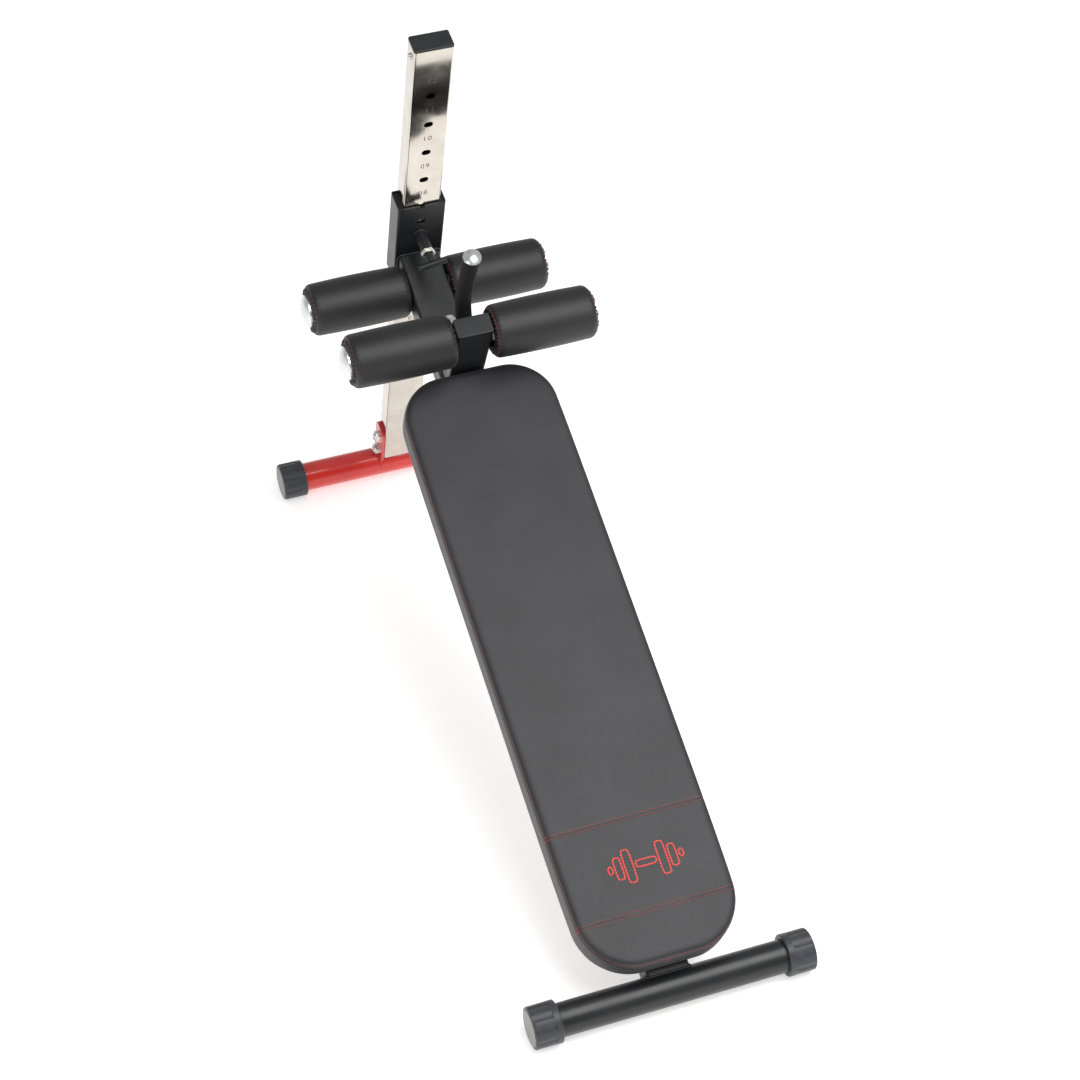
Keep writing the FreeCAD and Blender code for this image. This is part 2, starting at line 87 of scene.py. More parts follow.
ACROSS = np.array([1.0, 0.0, 0.0])
board_points = points("pad_board")
ALONG = np.linalg.svd(board_points - board_points.mean(0), full_matrices=False)[2][0]
ALONG = ALONG * np.sign(ALONG[2])
SQUARE = np.cross(ACROSS, ALONG)
JOINTS = {j["name"]: j for j in frame["joints"]}
UP_POST = np.array(JOINTS["post_height"]["axis"])
INTO_POST = np.cross(UP_POST, ACROSS)
FRONT_FOOT, REAR_FOOT = middle("front_foot_tube"), middle("rear_foot_tube")


def on_board(x, s, n):
    """World points from millimetres across, along and square to the board."""
    x, s, n = np.broadcast_arrays(x, s, n)
    place = x[..., None] * ACROSS + s[..., None] * ALONG + n[..., None] * SQUARE
    return FRONT_FOOT + place * MM


def on_post(x, f, h):
    """World points from millimetres across, into the post from its middle, and up the post."""
    x, f, h = np.broadcast_arrays(x, f, h)
    place = x[..., None] * ACROSS + f[..., None] * INTO_POST + h[..., None] * UP_POST
    return REAR_FOOT + place * MM


def board_span(node):
    """Lowest and highest (x, s, n) of a node in board axes, in millimetres."""
    local = (points(node) - FRONT_FOOT) @ np.array([ACROSS, ALONG, SQUARE]).T / MM
    return local.min(0), local.max(0)


def post_span(node):
    """Lowest and highest (x, f, h) of a node in post axes, in millimetres."""
    local = (points(node) - REAR_FOOT) @ np.array([ACROSS, INTO_POST, UP_POST]).T / MM
    return local.min(0), local.max(0)


print("board leans", round(math.degrees(math.atan2(ALONG[2], ALONG[1])), 2), "degrees")

# %% [markdown]
# ## The camera
# A long lens from the front left, a little above the bench. Its axes are three perpendicular
# directions, and a small shift frames the bench as a catalogue view does.

# %% Camera
EYE = np.array([-1.1959, -3.4867, 3.5471])
AHEAD = np.array([0.253429, 0.720917, -0.645021])
OVER = np.array([0.223618, 0.605070, 0.764124])


def make_camera():
    """A camera at EYE that looks along AHEAD with OVER upwards."""
    data = bpy.data.cameras.new("catalogue_camera")
    data.sensor_width = 36.0
    data.lens = 87.09
    data.shift_x, data.shift_y = 0.0076, -0.0041
    data.clip_end = 60.0
    camera = bpy.data.objects.new("catalogue_camera", data)
    bpy.context.scene.collection.objects.link(camera)
    turn = Matrix(np.array([np.cross(AHEAD, OVER), OVER, -AHEAD]).T.tolist()).to_4x4()
    camera.matrix_world = Matrix.Translation(EYE.tolist()) @ turn
    bpy.context.scene.camera = camera
    return camera


print("camera", make_camera().data.lens, "mm lens")

# %% [markdown]
# ## Helpers for finishes
# Colours are written as sRGB hex, as a paint chart gives them, and one function turns them to the
# linear values that light adds up in. `add` puts one node in a tree, with its settings, and its inputs
# either set or linked. Each finish is its base shader plus what breaks up a flat colour: grain,
# orange peel, brush marks, smudges. Patterns read Object coordinates, in metres, so a scale is one
# over the size of the feature.

# %% Colour and node helpers
def linear(code):
    """sRGB hex to linear RGBA: a straight line near black, a 2.4 power above it."""
    srgb = np.array([int(code[k:k + 2], 16) for k in (1, 3, 5)]) / 255
    out = np.where(srgb <= 0.04045, srgb / 12.92, ((srgb + 0.055) / 1.055) ** 2.4)
    return (*[float(v) for v in out], 1.0)


def add(tree, kind, inputs=None, **settings):
    """One shader node. An input given as a socket is linked, and anything else is its value."""
    made = tree.nodes.new("ShaderNode" + kind)
    for key, value in settings.items():
        setattr(made, key, value)
    for key, value in (inputs or {}).items():
        if isinstance(value, bpy.types.NodeSocket):
            tree.links.new(value, made.inputs[key])
        else:
            made.inputs[key].default_value = value
    return made


def start_finish(name, **sockets):
    """A material with a Principled shader. Returns the material, its tree, shader and coordinates."""
    material = bpy.data.materials.new(name)
    material.use_nodes = True
    tree = material.node_tree
    tree.nodes.clear()
    shader = add(tree, "BsdfPrincipled", {k.replace("_", " "): v for k, v in sockets.items()})
    add(tree, "OutputMaterial", {"Surface": shader.outputs[0]})
    place = add(tree, "TexCoord").outputs["Object"]
    return material, tree, shader, place


def speckle(tree, place, size, detail=2.0, rough=0.5, stretch=None):
    """Noise whose features are about size millimetres wide, stretched by three factors if given."""
    if stretch:
        place = add(tree, "Mapping", {"Vector": place, "Scale": stretch}).outputs[0]
    return add(tree, "TexNoise", {"Vector": place, "Scale": 1000 / size, "Detail": detail,
                                  "Roughness": rough}).outputs["Fac"]


def spread(tree, value, low, high, start=0.3, end=0.7):
    """Map a value from start..end to low..high."""
    return add(tree, "MapRange", {"Value": value, "From Min": start, "From Max": end,
                                  "To Min": low, "To Max": high}).outputs[0]


def two_tone(tree, value, first, second, start=0.3, end=0.7):
    """A colour that runs from first to second as the value goes from start to end."""
    ramp = add(tree, "ValToRGB", {"Fac": value})
    ramp.color_ramp.elements[0].position, ramp.color_ramp.elements[0].color = start, linear(first)
    ramp.color_ramp.elements[1].position, ramp.color_ramp.elements[1].color = end, linear(second)
    return ramp.outputs[0]


def emboss(tree, height, depth, under=None):
    """A bump whose full height is depth millimetres, laid over another normal if given."""
    inputs = {"Height": height, "Distance": depth * MM, "Strength": 1.0}
    if under:
        inputs["Normal"] = under
    return add(tree, "Bump", inputs).outputs[0]


def mottled(name, first, second, cloud, grain, rough=None, **sockets):
    """A finish whose colour, and roughness if given, drift in clouds over a fine raised grain.

    cloud is (size, detail) and grain is (size, detail, depth), with sizes in millimetres."""
    made, tree, shader, place = start_finish(name, **sockets)
    drift = speckle(tree, place, *cloud)
    tree.links.new(two_tone(tree, drift, first, second), shader.inputs["Base Color"])
    if rough:
        tree.links.new(spread(tree, drift, *rough), shader.inputs["Roughness"])
    tree.links.new(emboss(tree, speckle(tree, place, *grain[:2]), grain[2]), shader.inputs["Normal"])
    return made


print("linear mid grey", [round(v, 3) for v in linear("#808080")[:3]])

# %% [markdown]
# ## Painted and plated metal
# Powder coat is dry plastic dust melted onto steel: satin, with an orange-peel ripple a few
# millimetres across and a fine grit under it. The rear foot has a wet gloss paint with a clear top.
# Chrome is a mirror that shows only faint polishing marks along the tube. Zinc plate is softer and
# cloudier than chrome.

# %% Metal finishes
def powder_coat_black():
    """Satin black powder coat: broad soft highlights, faint orange peel."""
    made, tree, shader, place = start_finish("powder_coat_black", Roughness=0.36, IOR=1.5)
    peel, grit = speckle(tree, place, 3.2, 1.0), speckle(tree, place, 0.7, 2.0)
    cloud = speckle(tree, place, 90.0, 3.0)
    tree.links.new(two_tone(tree, cloud, "#151618", "#1d1e20"), shader.inputs["Base Color"])
    tree.links.new(spread(tree, cloud, 0.31, 0.41), shader.inputs["Roughness"])
    soft = emboss(tree, peel, 0.10)
    tree.links.new(emboss(tree, grit, 0.035, soft), shader.inputs["Normal"])
    return made


def gloss_paint_red():
    """Red gloss paint under a clear coat: a deep colour with a sharp highlight on top."""
    made, tree, shader, place = start_finish("gloss_paint_red", Roughness=0.34, IOR=1.5)
    shader.inputs["Coat Weight"].default_value = 0.8
    shader.inputs["Coat Roughness"].default_value = 0.07
    cloud = speckle(tree, place, 70.0, 3.0)
    tree.links.new(two_tone(tree, cloud, "#cb1a13", "#dd271d"), shader.inputs["Base Color"])
    tree.links.new(emboss(tree, speckle(tree, place, 4.0, 1.0), 0.05), shader.inputs["Normal"])
    return made


def polished_chrome():
    """Chrome plate on drawn tube: a mirror with faint lines along the draw."""
    made, tree, shader, place = start_finish("polished_chrome", Metallic=1.0, Roughness=0.07)
    lean = math.atan2(-UP_POST[1], UP_POST[2])
    level = add(tree, "Mapping", {"Vector": place, "Rotation": (-lean, 0.0, 0.0)}).outputs[0]
    drawn = speckle(tree, level, 2.5, 3.0, 0.6, (1.0, 1.0, 0.012))
    smudge = speckle(tree, place, 45.0, 4.0, 0.6)
    tree.links.new(two_tone(tree, smudge, "#c4beb4", "#d4cec5"), shader.inputs["Base Color"])
    tree.links.new(spread(tree, smudge, 0.05, 0.12), shader.inputs["Roughness"])
    tree.links.new(emboss(tree, drawn, 0.02), shader.inputs["Normal"])
    return made


def domed_chrome():
    """Chrome on small pressed caps: brighter and softer than the post."""
    return mottled("domed_chrome", "#d3d4d5", "#e6e7e8", (14.0, 3.0), (8.0, 1.0, 0.03), (0.22, 0.34),
                   Metallic=1.0, Roughness=0.26)


def zinc_plate():
    """Bright zinc on bolts and nuts: cloudy, with a trace of blue and straw."""
    return mottled("zinc_plate", "#cfd4da", "#e4e2db", (6.0, 3.0), (0.8, 2.0, 0.02), (0.18, 0.34),
                   Metallic=1.0, Roughness=0.25)


def drawn_steel():
    """Plain steel bar: grey, with turning marks."""
    return mottled("drawn_steel", "#85868a", "#a3a3a2", (9.0, 4.0), (0.6, 2.0, 0.03),
                   Metallic=1.0, Roughness=0.36)


METALS = {"black_powder_coat": powder_coat_black(), "red_paint": gloss_paint_red(),
          "chrome": polished_chrome(), "zinc": zinc_plate(), "steel": drawn_steel()}
DOME = domed_chrome()
print("metal finishes", [m.name for m in METALS.values()])

# %% [markdown]
# ## Plastic, rubber, wood and vinyl
# Moulded plastic takes the fine spark-eroded grain of its mould. The grip is foam rubber, matt and
# full of tiny pores. The cover is PVC-coated cloth with a leather grain rolled into it: shallow
# creases around rounded cells a millimetre or two across, which catch a broad grey sheen.

# %% Plastic, rubber, wood and vinyl finishes
def moulded_plastic(name, first, second, rough, depth=0.05):
    """A moulded plastic with spark-eroded grain, half a millimetre across, drawn at 0.9 mm to show."""
    return mottled(name, first, second, (25.0, 3.0), (0.9, 2.0, depth), (rough - 0.05, rough + 0.06),
                   Roughness=rough, IOR=1.46)


def foam_rubber():
    """Closed-cell foam of the grip: matt black, small pores whose pits are painted darker as painted
    shade, faint wrinkles round it.
    """
    made, tree, shader, place = start_finish("foam_rubber", Roughness=0.78, IOR=1.5)
    shader.inputs["Specular IOR Level"].default_value = 0.3
    pores = add(tree, "TexVoronoi", {"Vector": place, "Scale": 1000 / 1.3}).outputs["Distance"]
    # painted shade: the colour darkens towards each pore's pit, where the bump sinks
    tree.links.new(two_tone(tree, pores, "#060607", "#101012", 0.05, 0.5), shader.inputs["Base Color"])
    wrinkle = emboss(tree, speckle(tree, place, 9.0, 2.0, 0.6, (1.0, 1.0, 2.4)), 0.5)
    tree.links.new(emboss(tree, pores, 0.12, wrinkle), shader.inputs["Normal"])
    return made


def birch_plywood():
    """Plywood: thin birch veneers whose grain runs along the board and shows as lines on the edge."""
    made, tree, shader, place = start_finish("birch_plywood", Roughness=0.6, IOR=1.5)
    lean = math.atan2(ALONG[2], ALONG[1])
    level = add(tree, "Mapping", {"Vector": place, "Rotation": (-lean, 0.0, 0.0)}).outputs[0]
    grain = speckle(tree, level, 4.0, 5.0, 0.65, (1.0, 0.05, 1.0))
    tree.links.new(two_tone(tree, grain, "#a97f4f", "#d3ae7b"), shader.inputs["Base Color"])
    tree.links.new(emboss(tree, grain, 0.15), shader.inputs["Normal"])
    return made


def grained_vinyl(name="grained_vinyl", first="#1c1c1f", second="#28282b", sheen=0.12):
    """Black PVC leathercloth: rounded grain cells with creases between them and a satin sheen.

    The real grain is about 0.8 mm, drawn at 1.8 mm so that it shows."""
    made, tree, shader, place = start_finish(name, Roughness=0.46, IOR=1.52)
    shader.inputs["Sheen Weight"].default_value = sheen
    shader.inputs["Sheen Roughness"].default_value = 0.4
    warp = add(tree, "TexNoise", {"Vector": place, "Scale": 1000 / 6.0, "Detail": 1.0})
    bent = add(tree, "VectorMath", {0: warp.outputs["Color"], 1: (0.003, 0.003, 0.003)},
               operation="MULTIPLY").outputs[0]
    moved = add(tree, "VectorMath", {0: place, 1: bent}, operation="ADD").outputs[0]
    cells = add(tree, "TexVoronoi", {"Vector": moved, "Scale": 1000 / 1.8},
                feature="DISTANCE_TO_EDGE").outputs["Distance"]
    crease = spread(tree, cells, 0.0, 1.0, 0.0, 0.22)
    fine, cloud = speckle(tree, place, 0.5, 2.0), speckle(tree, place, 120.0, 3.0)
    tree.links.new(two_tone(tree, cloud, first, second), shader.inputs["Base Color"])
    tree.links.new(spread(tree, crease, 0.56, 0.44, 0.0, 1.0), shader.inputs["Roughness"])
    soft = emboss(tree, crease, 0.07)
    tree.links.new(emboss(tree, fine, 0.03, soft), shader.inputs["Normal"])
    return made


PLAIN = {"black_plastic": moulded_plastic("moulded_black_nylon", "#161719", "#1f2022", 0.46),
         "grey_plastic": moulded_plastic("moulded_grey_nylon", "#7b7b79", "#8d8d8b", 0.44),
         "white_plastic": moulded_plastic("moulded_white_acetal", "#dcdad4", "#e8e6e1", 0.4),
         "black_vinyl": grained_vinyl(),
         "rubber": foam_rubber(), "plywood": birch_plywood()}
ROLLER_VINYL = grained_vinyl("roller_vinyl", "#0b0b0d", "#141416", 0.04)
FOOT_CAP = moulded_plastic("moulded_dark_grey_nylon", "#303337", "#3d4045", 0.42)
print("other finishes", [m.name for m in PLAIN.values()])

# %% [markdown]
# ## Thread and etched marks
# The seams are sewn in red polyester: a twisted, slightly fuzzy thread. The embroidery is the same
# thread laid side by side, which gives a satin band of fine ridges. The numbers on the post are
# etched through the shine, so they are dull and brown.

# %% Thread and etching
def sewing_thread(name, first, second, ridge):
    """Polyester thread: bright, a little glossy, with fine ridges of a given width, painted darker
    where they dip as painted shade.
    """
    made, tree, shader, place = start_finish(name, Roughness=0.5, IOR=1.53)
    shader.inputs["Sheen Weight"].default_value = 0.4
    shader.inputs["Sheen Roughness"].default_value = 0.3
    twist = speckle(tree, place, ridge, 1.0)
    # painted shade and light: the colour is darker where the twist's ridges dip and lighter where they
    # rise
    tree.links.new(two_tone(tree, twist, first, second), shader.inputs["Base Color"])
    tree.links.new(emboss(tree, twist, 0.15), shader.inputs["Normal"])
    return made


def satin_embroidery():
    """Threads side by side across the band: ridges 0.5 mm wide along the band's own length, painted
    darker in the dips as painted shade and lighter on the crests as painted highlight.
    """
    made, tree, shader, _ = start_finish("satin_embroidery", Roughness=0.42, IOR=1.53)
    shader.inputs["Sheen Weight"].default_value = 0.5
    shader.inputs["Sheen Roughness"].default_value = 0.3
    run = add(tree, "UVMap", uv_map="run").outputs[0]
    threads = add(tree, "TexWave", {"Vector": run, "Scale": 1000 / 0.9 / 20, "Distortion": 0.6,
                                    "Detail": 1.0}, bands_direction="X").outputs["Fac"]
    # painted shade in the dips between threads and painted highlight on their crests, from the same
    # wave as the bump
    tree.links.new(two_tone(tree, threads, "#b5281d", "#e5402f", 0.1, 0.8), shader.inputs["Base Color"])
    tree.links.new(emboss(tree, threads, 0.12), shader.inputs["Normal"])
    return made


def etched_mark():
    """Marks etched through chrome: dull brown grey, still half metal."""
    return mottled("etched_mark", "#4a4038", "#6d5f53", (3.0, 3.0), (0.5, 2.0, 0.03),
                   Metallic=0.4, Roughness=0.6)


RED_THREAD = sewing_thread("red_polyester_thread", "#982a23", "#c23b30", 1.2)
EMBROIDERY = satin_embroidery()
ETCHED = etched_mark()
print("thread finishes", RED_THREAD.name, EMBROIDERY.name)

# %% [markdown]
# ## Finish the CAD pieces
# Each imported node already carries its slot's name, so one table gives it its finish. A few nodes get
# a finer one: the caps on the roller axles and the handle are small bright domes, and the foot caps
# are a paler nylon than the post's plug.

# %% Dress the CAD nodes
FINISH = {**METALS, **PLAIN}
for node, body in frame["nodes"].items():
    for held in body.material_slots:
        held.material = FINISH[held.material.name.split(".")[0]]
for node in ("roller_end_caps", "handle_end_cap"):
    frame["nodes"][node].material_slots[0].material = DOME
for node in ("spine_bolt", "spine_bolt_washer"):
    frame["nodes"][node].material_slots[0].material = METALS["steel"]
for node in ("front_foot_caps", "rear_foot_caps"):
    frame["nodes"][node].material_slots[0].material = FOOT_CAP
print("dressed", len(frame["nodes"]), "nodes")

# %% [markdown]
# ## Turning arrays into pieces
# A soft or round surface here is a grid of points P[i, j]. Rows can close on themselves, as round a
# tube, and an open end can be drawn to one point. `swarm` copies one small closed shape to many
# places at once, which is how a seam gets hundreds of stitches without a loop.

# %% Grid and swarm builders
def grid_faces(rows, cols, wrap_rows, wrap_cols):
    """Quads between neighbouring rows and columns, with the last joined to the first on request."""
    i = np.arange(rows if wrap_rows else rows - 1)
    j = np.arange(cols if wrap_cols else cols - 1)
    i, j = np.meshgrid(i, j, indexing="ij")
    k, m = (i + 1) % rows, (j + 1) % cols
    return np.stack([i * cols + j, i * cols + m, k * cols + m, k * cols + j], -1).reshape(-1, 4)


def piece(name, verts, faces, finish, body, slot):
    """A mesh piece at the origin, smooth, facing outwards, riding a body."""
    mesh = bpy.data.meshes.new(name)
    mesh.from_pydata(np.asarray(verts).reshape(-1, 3).tolist(), [], [list(f) for f in faces])
    tidy = bmesh.new()
    tidy.from_mesh(mesh)
    bmesh.ops.recalc_face_normals(tidy, faces=tidy.faces)
    tidy.to_mesh(mesh)
    tidy.free()
    mesh.shade_smooth()
    mesh.materials.append(finish)
    made = bpy.data.objects.new(name, mesh)
    bpy.context.scene.collection.objects.link(made)
    if body:
        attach(made, body)
    return made


def fan(pole, ring, flip=False):
    """Triangles from a pole to a ring, both given as point numbers, wound the other way on request."""
    pair = (ring, np.roll(ring, -1)) if flip else (np.roll(ring, -1), ring)
    return np.stack([np.full(len(ring), pole), *pair], -1).tolist()


def tube(path, side, over, radius, high=None, sides=10, closed=False):
    """A tube: at each path point, an ellipse of half axes radius along side and high along over."""
    high = radius if high is None else high
    turn = np.linspace(0, 2 * np.pi, sides, endpoint=False)
    wide, tall = np.broadcast_to(radius, len(path)), np.broadcast_to(high, len(path))
    ring = (path[:, None] + side[:, None] * (wide[:, None] * np.cos(turn))[..., None]
            + over[:, None] * (tall[:, None] * np.sin(turn))[..., None])
    faces = [list(f) for f in grid_faces(len(path), sides, closed, True)]
    verts = ring.reshape(-1, 3)
    if not closed:
        pole, j = len(verts), np.arange(sides)
        verts = np.concatenate([verts, [path[0], path[-1]]])
        faces += fan(pole, j) + fan(pole + 1, j + pole - sides, True)
    return verts, faces


def capsule(sides=6):
    """A stitch of unit length and unit radius along x: four rings and two poles."""
    x = np.array([-0.44, -0.22, 0.22, 0.44])
    r = np.array([0.72, 1.0, 1.0, 0.72])
    turn = np.linspace(0, 2 * np.pi, sides, endpoint=False)
    ring = np.stack([np.repeat(x, sides), np.outer(r, np.cos(turn)).ravel(),
                     np.outer(r, np.sin(turn)).ravel()], -1)
    verts = np.concatenate([ring, [[-0.5, 0, 0], [0.5, 0, 0]]])
    faces = [list(f) for f in grid_faces(4, sides, False, True)]
    j = np.arange(sides)
    faces += fan(4 * sides, j) + fan(4 * sides + 1, 3 * sides + j, True)
    return verts, faces


def swarm(verts, faces, places, ahead, over, long, thick):
    """Copies of a small shape: x along ahead and scaled to long, y and z scaled to thick."""
    side = np.cross(over, ahead)
    moved = (places[:, None] + verts[None, :, :1] * ahead[:, None] * long
             + verts[None, :, 1:2] * side[:, None] * thick + verts[None, :, 2:] * over[:, None] * thick)
    size = len(verts)
    out = []
    for k in range(len(places)):
        out += [[v + k * size for v in f] for f in faces]
    return moved.reshape(-1, 3), out


def merged(parts):
    """Join (vertices, faces) pairs into one pair."""
    starts = np.cumsum([0] + [len(v) for v, _ in parts]).tolist()
    faces = [[q + start for q in face] for (_, f), start in zip(parts, starts) for face in f]
    return np.concatenate([v for v, _ in parts]), faces


def unit(v):
    """Rows scaled to length one."""
    return v / np.maximum(np.linalg.norm(v, axis=-1, keepdims=True), 1e-12)


def even(path, step, closed=False):
    """Points along a path at equal steps near the given one."""
    if closed:
        path = np.concatenate([path, path[:1]])
    run = np.concatenate([[0], np.cumsum(np.linalg.norm(np.diff(path, axis=0), axis=1))])
    count = max(int(round(run[-1] / step)), 2)
    at = np.linspace(0, run[-1], count + 1)[:-1] if closed else np.linspace(0, run[-1], count + 1)
    return np.stack([np.interp(at, run, path[:, k]) for k in range(3)], -1)


def tangents(path, closed=False):
    """Direction of travel at each point, from its two neighbours."""
    if closed:
        return unit(np.roll(path, -1, 0) - np.roll(path, 1, 0))
    return unit(np.gradient(path, axis=0))


print("a stitch has", len(capsule()[0]), "points")

# %% [markdown]
# ## The pad's cover
# The pad is foam on a plywood board, in a vinyl cover: a top panel sewn to a side band a finger's
# width below the top, folded under the board and stapled. A grid wraps it in one sheet with no pole:
# its middle is the flat top, and its outer rings are the rolled edge, the band and the fold under
# the board. Ring k is a rounded rectangle, so the grid's lines follow the seam all the way round.

# %% Shape of the pad's cover
(pad_x0, pad_s0, pad_n0), (pad_x1, pad_s1, pad_n1) = board_span("pad_cushion")
HALF_W, HALF_L = (pad_x1 - pad_x0) / 2, (pad_s1 - pad_s0) / 2
PAD_MID = (pad_s0 + pad_s1) / 2
LOW_CORNER, HIGH_CORNER = 98.0, 86.0     # corner radii of the cover at its two ends
LOW_DRAW, HIGH_DRAW = 0.05, 0.03         # how far the sides draw in at the two ends
SEAM_RING = 15
# inset from the outline and height above the foot bar's axis, ring by ring, from under the board up
RINGS = np.array([(34, -0.4), (26, -0.8), (18, -0.9), (11, -0.9), (5.5, -0.7), (2.2, 0.6), (0.6, 3.5),
                  (0.1, 8), (0, 14), (0, 20.5), (0, 27), (0, 33.5), (0.1, 39.5), (0.4, 44.2),
                  (1.0, 47.4), (1.6, 49.2), (1.7, 51.2), (3.2, 53.8), (6.6, 55.9), (11.5, 57.0),
                  (17.5, 57.3)])
RIM = 24.0
CELL = 6.0
TIGHT = 9.0                              # half the stretch that is drawn together at a seam
EVEN_LONG, EVEN_WIDE = 508.0, 48.0        # from the pad's middle, the sheet's cells are even up to here
CROSS_SEAMS = (123.0, 291.0)
SEAM_ROWS = (-3.5, 3.5)                  # the two rows of stitches of a cross seam
TOP_START = pad_n1 - pad_n0 - 2.7


def cover_grid():
    """Points of the cover in board axes, and each point's ring number.

    A point's ring is its distance in cells from the sheet's edge. Its place along the ring comes
    from its column or row, evenly spaced on the long straight, tighter at the two cross seams, with
    the rest of the cells shared out round the corner up to its middle."""
    k1 = len(RINGS)
    half_i = round((HALF_W - RIM) / CELL) + k1
    half_j = round((HALF_L - RIM) / CELL) + k1
    cell_x, cell_s = (HALF_W - RIM) / (half_i - k1), (HALF_L - RIM) / (half_j - k1)
    i, j = np.meshgrid(np.arange(2 * half_i + 1) - half_i, np.arange(2 * half_j + 1) - half_j,
                       indexing="ij")
    near_x, near_s = half_i - np.abs(i), half_j - np.abs(j)
    ring = np.minimum(near_x, near_s)
    deep = np.maximum(ring - k1, 0)
    inset = np.where(ring < k1, RINGS[np.minimum(ring, k1 - 1), 0], 0.0)
    a = np.where(ring < k1, HALF_W - inset, HALF_W - RIM - cell_x * deep)
    b = np.where(ring < k1, HALF_L - inset, HALF_L - RIM - cell_s * deep)
    height = np.where(ring < k1, RINGS[np.minimum(ring, k1 - 1), 1], TOP_START)
    corner = np.where(j < 0, LOW_CORNER, HIGH_CORNER)
    r = np.maximum(corner - (HALF_W - a), 1e-6)

    def along_side(step, cell, straight, length, total):
        """Distance from the side's middle: even up to straight, then shared out to length."""
        fixed = straight / cell
        rest = np.maximum(total - fixed, 1e-9)
        past = np.maximum(np.abs(step) - fixed, 0) / rest
        return np.minimum(np.abs(step), fixed) * cell + past * (length - straight)

    ls = along_side(j, cell_s, EVEN_LONG, b - r + r * np.pi / 4, half_j - ring)
    lx = along_side(i, cell_x, EVEN_WIDE, a - r + r * np.pi / 4, half_i - ring)
    ls = np.where(half_j - ring < EVEN_LONG / cell_s, np.abs(j) * cell_s, ls)
    lx = np.where(half_i - ring < EVEN_WIDE / cell_x, np.abs(i) * cell_x, lx)
    ls = tighten(ls, j)
    long_side = near_x <= near_s
    turn_s = np.clip((ls - (b - r)) / r, 0, np.pi / 4)
    turn_x = np.clip((lx - (a - r)) / r, 0, np.pi / 4)
    x = np.where(long_side, a - r + r * np.cos(turn_s), np.minimum(lx, a - r) + r * np.sin(turn_x))
    s = np.where(long_side, np.minimum(ls, b - r) + r * np.sin(turn_s), b - r + r * np.cos(turn_x))
    x, s = x * np.sign(i + 0.0), s * np.sign(j + 0.0)
    # the sides draw in a few millimetres towards the ends, as a stretched cover does
    x = x * (1 - np.where(s < 0, LOW_DRAW, HIGH_DRAW) * np.abs(s / HALF_L) ** 6)
    return np.stack([x, s + PAD_MID, height + pad_n0], -1), ring


def tighten(run, j):
    """Draw the sheet's rows together at the two cross seams: rows are 2 mm apart there.

    Each seam takes as many rows as TIGHT has millimetres, over twice TIGHT of length."""
    knots_l, knots_c = [0.0], [0.0]
    for seam in sorted(PAD_MID - c for c in CROSS_SEAMS):
        for edge, cells in ((seam - TIGHT, None), (min(seam + TIGHT, EVEN_LONG - 3.0), TIGHT)):
            knots_l.append(edge)
            knots_c.append(cells)
    knots_l.append(EVEN_LONG)
    loose = EVEN_LONG - sum(b - a for a, b, c in zip(knots_l, knots_l[1:], knots_c[1:] + [None]) if c)
    total = EVEN_LONG / CELL - 2 * TIGHT
    spots = [0.0]
    for k in range(1, len(knots_l)):
        cells = knots_c[k] if k < len(knots_c) and knots_c[k] else None
        gap = knots_l[k] - knots_l[k - 1]
        spots.append(spots[-1] + (cells if cells else gap / loose * total))
    spots = np.array(spots) / spots[-1] * EVEN_LONG
    return np.where((j < 0) & (run < EVEN_LONG), np.interp(run, spots, knots_l), run)


cover_points, cover_ring = cover_grid()
print("cover grid", cover_points.shape, "rings", cover_ring.max())

# %% [markdown]
# ## Inflate the cover
# The cover starts a little too small and cloth simulation swells it, as foam pushing against vinyl
# does. The fold under the board and the seams are pinned, so the panels bulge between them and the
# sewn lines stay low. How far a point may move is capped smoothly, because foam gives only so much.

# %% Cloth simulation of a cover
def swell(made, pins, pressure, cap, steps=20):
    """Run Cloth on a piece with pins per vertex, then keep the result with moves capped.

    A move d becomes cap * tanh(d / cap), so small moves pass and large ones level off."""
    before = rows_of(made.data)
    group = made.vertex_groups.new(name="pins")
    for level in np.unique(pins[pins > 0]):
        group.add(np.nonzero(pins == level)[0].tolist(), float(level), "REPLACE")
    cloth = made.modifiers.new("swell", "CLOTH")
    setting = cloth.settings
    setting.quality = 5
    setting.mass = 0.3
    setting.tension_stiffness = setting.compression_stiffness = 15
    setting.shear_stiffness = 5
    setting.bending_stiffness = 0.5
    setting.use_pressure = True
    setting.uniform_pressure_force = pressure
    setting.vertex_group_mass = "pins"
    setting.effector_weights.gravity = 0
    cloth.collision_settings.use_collision = False
    scene = bpy.context.scene
    cloth.point_cache.frame_start, cloth.point_cache.frame_end = 1, steps
    for step in range(1, steps + 1):
        scene.frame_set(step)
    done = made.evaluated_get(bpy.context.evaluated_depsgraph_get())
    move = rows_of(done.data) - before
    made.modifiers.remove(cloth)
    made.vertex_groups.remove(group)
    size = np.linalg.norm(move, axis=1, keepdims=True)
    move *= cap * np.tanh(size / cap) / np.maximum(size, 1e-9)
    made.data.vertices.foreach_set("co", (before + move).ravel())
    made.data.update()
    scene.frame_set(1)
    print(made.name, "swelled by up to", round(float(np.abs(move).max()) / MM, 2), "mm")


def subdivide(made, levels=1):
    """Apply one smooth subdivision and keep the piece's name, finish and attributes."""
    finer = made.modifiers.new("finer", "SUBSURF")
    finer.levels = finer.render_levels = levels
    done = made.evaluated_get(bpy.context.evaluated_depsgraph_get())
    mesh = bpy.data.meshes.new_from_object(done)
    made.modifiers.remove(finer)
    old, made.data = made.data, mesh
    bpy.data.meshes.remove(old)
    mesh.name = made.name


def coords(made):
    """A piece's points, as rows."""
    return rows_of(made.data)


def mark(made, name, values):
    """Keep one number per vertex, which subdivision then blends."""
    made.data.attributes.new(name, "FLOAT", "POINT").data.foreach_set("value", values)


def marked(made, name):
    """Read the numbers kept by mark."""
    out = np.empty(len(made.data.vertices))
    made.data.attributes[name].data.foreach_get("value", out)
    return out


